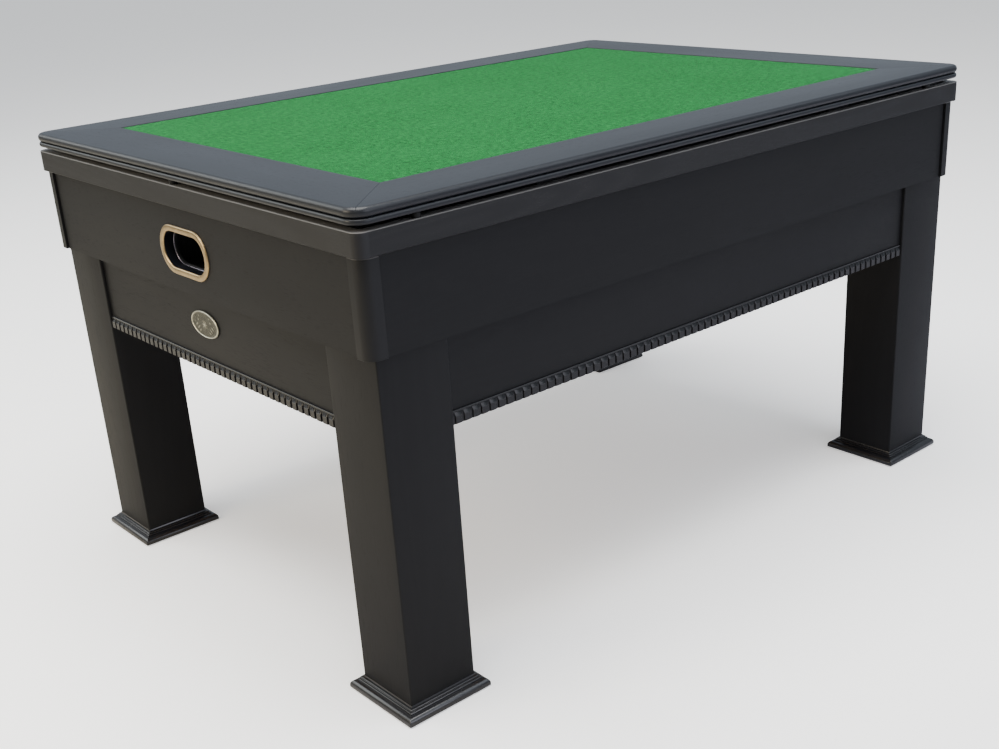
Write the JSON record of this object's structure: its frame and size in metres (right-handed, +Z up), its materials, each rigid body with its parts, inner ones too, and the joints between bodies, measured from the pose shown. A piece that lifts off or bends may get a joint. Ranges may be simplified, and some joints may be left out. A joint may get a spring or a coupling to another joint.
{
  "type": "gaming table",
  "caption": "Rectangular game table with a lift-off felt card top on a panelled cabinet, square legs with plinths, end return mouths and a blower slung below.",
  "frame": {"origin": "on the floor, under the middle of the table", "axes": "+X along the long side, +Z up"},
  "size_m": [1.434, 1.0242, 0.8],
  "materials": {
    "frame_lacquer": "satin black lacquer",
    "bare_wood": "plain",
    "board": "plain fibreboard",
    "felt": "napped",
    "pad_rubber": "matte",
    "glide_plastic": "matte",
    "oak_lacquer": "open-grain satin lacquer",
    "cabinet_lacquer": "satin lacquer",
    "moulding_lacquer": "semi-gloss lacquer",
    "zinc_steel": "zinc plated",
    "playfield_laminate": "gloss laminate",
    "rail_aluminium": "satin anodised",
    "pocket_plastic": "moulded",
    "ring_brass": "satin",
    "badge_nickel": "antique nickel",
    "blower_plastic": "moulded",
    "switch_plastic": "moulded",
    "motor_steel": "painted"
  },
  "bodies": {
    "cabinet": {"apron_back": "cabinet_lacquer", "apron_front": "cabinet_lacquer", "apron_left": "cabinet_lacquer", "apron_right": "cabinet_lacquer", "badge": "badge_nickel", "band_back": "oak_lacquer", "band_corner_blocks": "oak_lacquer", "band_front": "oak_lacquer", "band_left": "oak_lacquer", "band_right": "oak_lacquer", "blower_guard": "blower_plastic", "blower_housing": "blower_plastic", "blower_motor": "motor_steel", "bottom_board": "board", "cord_gland": "blower_plastic", "corner_post_back_left": "cabinet_lacquer", "corner_post_back_right": "cabinet_lacquer", "corner_post_front_left": "cabinet_lacquer", "corner_post_front_right": "cabinet_lacquer", "dentil_back": "moulding_lacquer", "dentil_front": "moulding_lacquer", "dentil_left": "moulding_lacquer", "dentil_right": "moulding_lacquer", "end_panel_left": "cabinet_lacquer", "end_panel_right": "cabinet_lacquer", "floor_glides": "glide_plastic", "inner_battens": "bare_wood", "leg_back_left": "cabinet_lacquer", "leg_back_right": "cabinet_lacquer", "leg_bolts": "zinc_steel", "leg_braces": "bare_wood", "leg_front_left": "cabinet_lacquer", "leg_front_right": "cabinet_lacquer", "motor_strap": "zinc_steel", "playfield": "playfield_laminate", "plinths": "moulding_lacquer", "rail_back": "cabinet_lacquer", "rail_front": "cabinet_lacquer", "rail_inserts": "rail_aluminium", "rail_left": "cabinet_lacquer", "rail_right": "cabinet_lacquer", "rest_pads": "pad_rubber", "return_pocket_left": "pocket_plastic", "return_pocket_right": "pocket_plastic", "side_panel_back": "cabinet_lacquer", "side_panel_front": "cabinet_lacquer", "switch_body": "switch_plastic", "trim_ring_left": "ring_brass", "trim_ring_right": "ring_brass"},
    "card_top": {"top_frame_back": "frame_lacquer", "top_frame_front": "frame_lacquer", "top_frame_left": "frame_lacquer", "top_frame_right": "frame_lacquer", "mitre_keys": "bare_wood", "felt_panel": "board", "felt_field": "felt", "locating_cleats": "cabinet_lacquer"},
    "impeller_rotor": {"impeller": "blower_plastic", "motor_shaft": "zinc_steel"},
    "rocker": {"switch_rocker": "switch_plastic"}
  },
  "joints": [
    {"name": "card_top_lift", "type": "slide", "parent": "cabinet", "child": "card_top", "axis": [0, 0, 1], "range_m": [0, 0.3]},
    {"name": "impeller_spin", "type": "hinge", "parent": "cabinet", "child": "impeller_rotor", "pos_m": [-0.073, -0.278, 0.42], "axis": [0, 0, 1], "continuous": true},
    {"name": "switch_rock", "type": "hinge", "parent": "cabinet", "child": "rocker", "pos_m": [-0.045, -0.21, 0.418], "axis": [1, 0, 0], "range_deg": [0, 16]}
  ]
}
